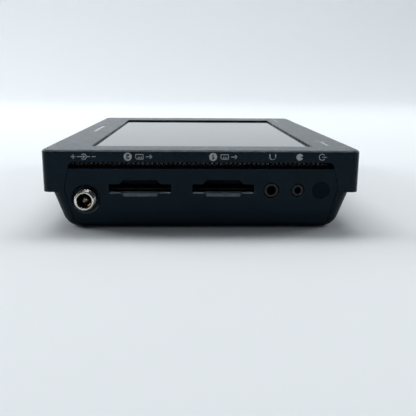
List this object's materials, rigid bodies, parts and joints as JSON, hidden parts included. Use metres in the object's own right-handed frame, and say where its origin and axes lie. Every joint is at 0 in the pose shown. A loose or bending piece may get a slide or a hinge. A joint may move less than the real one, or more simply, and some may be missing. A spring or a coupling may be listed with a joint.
{
  "type": "portable touchscreen video recorder",
  "caption": "Flat tablet-shaped field recorder with a touchscreen face, card slots, audio and power sockets on one end, signal sockets on the other and battery bays in the back.",
  "frame": {"origin": "middle of the flat back, on the surface that the recorder lies on", "axes": "+Z out of the screen, +X to the edge beside the power button, which is the top edge in use, and +Y to the signal end; the card-slot end faces -Y"},
  "size_m": [0.127, 0.1966, 0.0315],
  "materials": {
    "case": "matte textured powder coat",
    "case_rear": "matte fine texture",
    "panel": "matte fine texture",
    "black_foam": "soft matte",
    "screen_glass": "polished",
    "lcd": "gloss",
    "bare_steel": "fine brushed",
    "brass": "turned",
    "flex_cable": "satin film",
    "black_steel": "black oxide",
    "grille_black": "matte",
    "insert_steel": "turned",
    "circuit_board": "solder resist",
    "chip_black": "moulded epoxy",
    "aluminium": "extruded",
    "black_plastic": "moulded",
    "nickel": "plated",
    "copper": "spring copper alloy",
    "grey_bush": "satin",
    "button": "satin",
    "white_insulator": "moulded",
    "gold": "plated",
    "latch": "moulded",
    "speaker_paper": "pressed fibre",
    "symbol_print": "printed ink"
  },
  "bodies": {
    "case": {"front_frame": "case", "rear_housing": "case_rear", "port_panel": "panel", "signal_panel": "panel", "screen_gasket": "black_foam", "touch_glass": "screen_glass", "lcd_panel": "lcd", "backlight_unit": "bare_steel", "display_bracket": "bare_steel", "bracket_standoffs": "brass", "bracket_screws": "bare_steel", "display_cable": "flex_cable", "case_screws": "black_steel", "port_grille": "grille_black", "signal_grille": "grille_black", "top_thread_inserts": "insert_steel", "bottom_thread_inserts": "insert_steel", "main_board": "circuit_board", "board_screws": "bare_steel", "video_processor": "chip_black", "memory_chips": "chip_black", "heat_sink": "aluminium", "clock_battery": "bare_steel", "sd_socket_1": "black_steel", "sd_socket_2": "black_steel", "dc_jack_barrel": "nickel", "dc_jack_body": "black_plastic", "dc_jack_pin": "nickel", "dc_jack_spring": "copper", "headphone_jack": "black_plastic", "headphone_bush": "grey_bush", "remote_jack": "black_plastic", "remote_bush": "grey_bush", "power_switch": "black_plastic", "mic_socket_1": "nickel", "mic_socket_2": "nickel", "mic_inserts": "black_plastic", "hdmi_input_socket": "bare_steel", "hdmi_output_socket": "bare_steel", "hdmi_tongues": "black_plastic", "sdi_input_socket": "nickel", "sdi_output_socket": "nickel", "sdi_insulators": "white_insulator", "sdi_contacts": "gold", "contact_blocks": "black_plastic", "contact_blades": "gold", "fan_frame": "black_plastic", "speaker_basket": "bare_steel", "speaker_cone": "speaker_paper"},
    "power_button": {"power_button": "button"},
    "battery_latch_1": {"battery_latch_1": "latch"},
    "battery_latch_2": {"battery_latch_2": "latch"},
    "card_carriage_1": {"card_carriage_1": "black_plastic"},
    "card_carriage_2": {"card_carriage_2": "black_plastic"},
    "fan_rotor": {"fan_rotor": "chip_black"}
  },
  "joints": [
    {"name": "power_button_press", "type": "slide", "parent": "case", "child": "power_button", "axis": [0, 1, 0], "range_m": [0, 0.0006], "stiffness_N_per_m": 1500},
    {"name": "battery_latch_1_slide", "type": "slide", "parent": "case", "child": "battery_latch_1", "axis": [1, 0, 0], "range_m": [0, 0.0022], "stiffness_N_per_m": 400},
    {"name": "battery_latch_2_slide", "type": "slide", "parent": "case", "child": "battery_latch_2", "axis": [1, 0, 0], "range_m": [0, 0.0022], "stiffness_N_per_m": 400},
    {"name": "card_carriage_1_push", "type": "slide", "parent": "case", "child": "card_carriage_1", "axis": [0, 1, 0], "range_m": [0, 0.004], "stiffness_N_per_m": 200},
    {"name": "card_carriage_2_push", "type": "slide", "parent": "case", "child": "card_carriage_2", "axis": [0, 1, 0], "range_m": [0, 0.004], "stiffness_N_per_m": 200},
    {"name": "fan_spin", "type": "hinge", "parent": "case", "child": "fan_rotor", "pos_m": [0.0412, 0, 0.006], "axis": [0, 0, 1], "continuous": true}
  ]
}
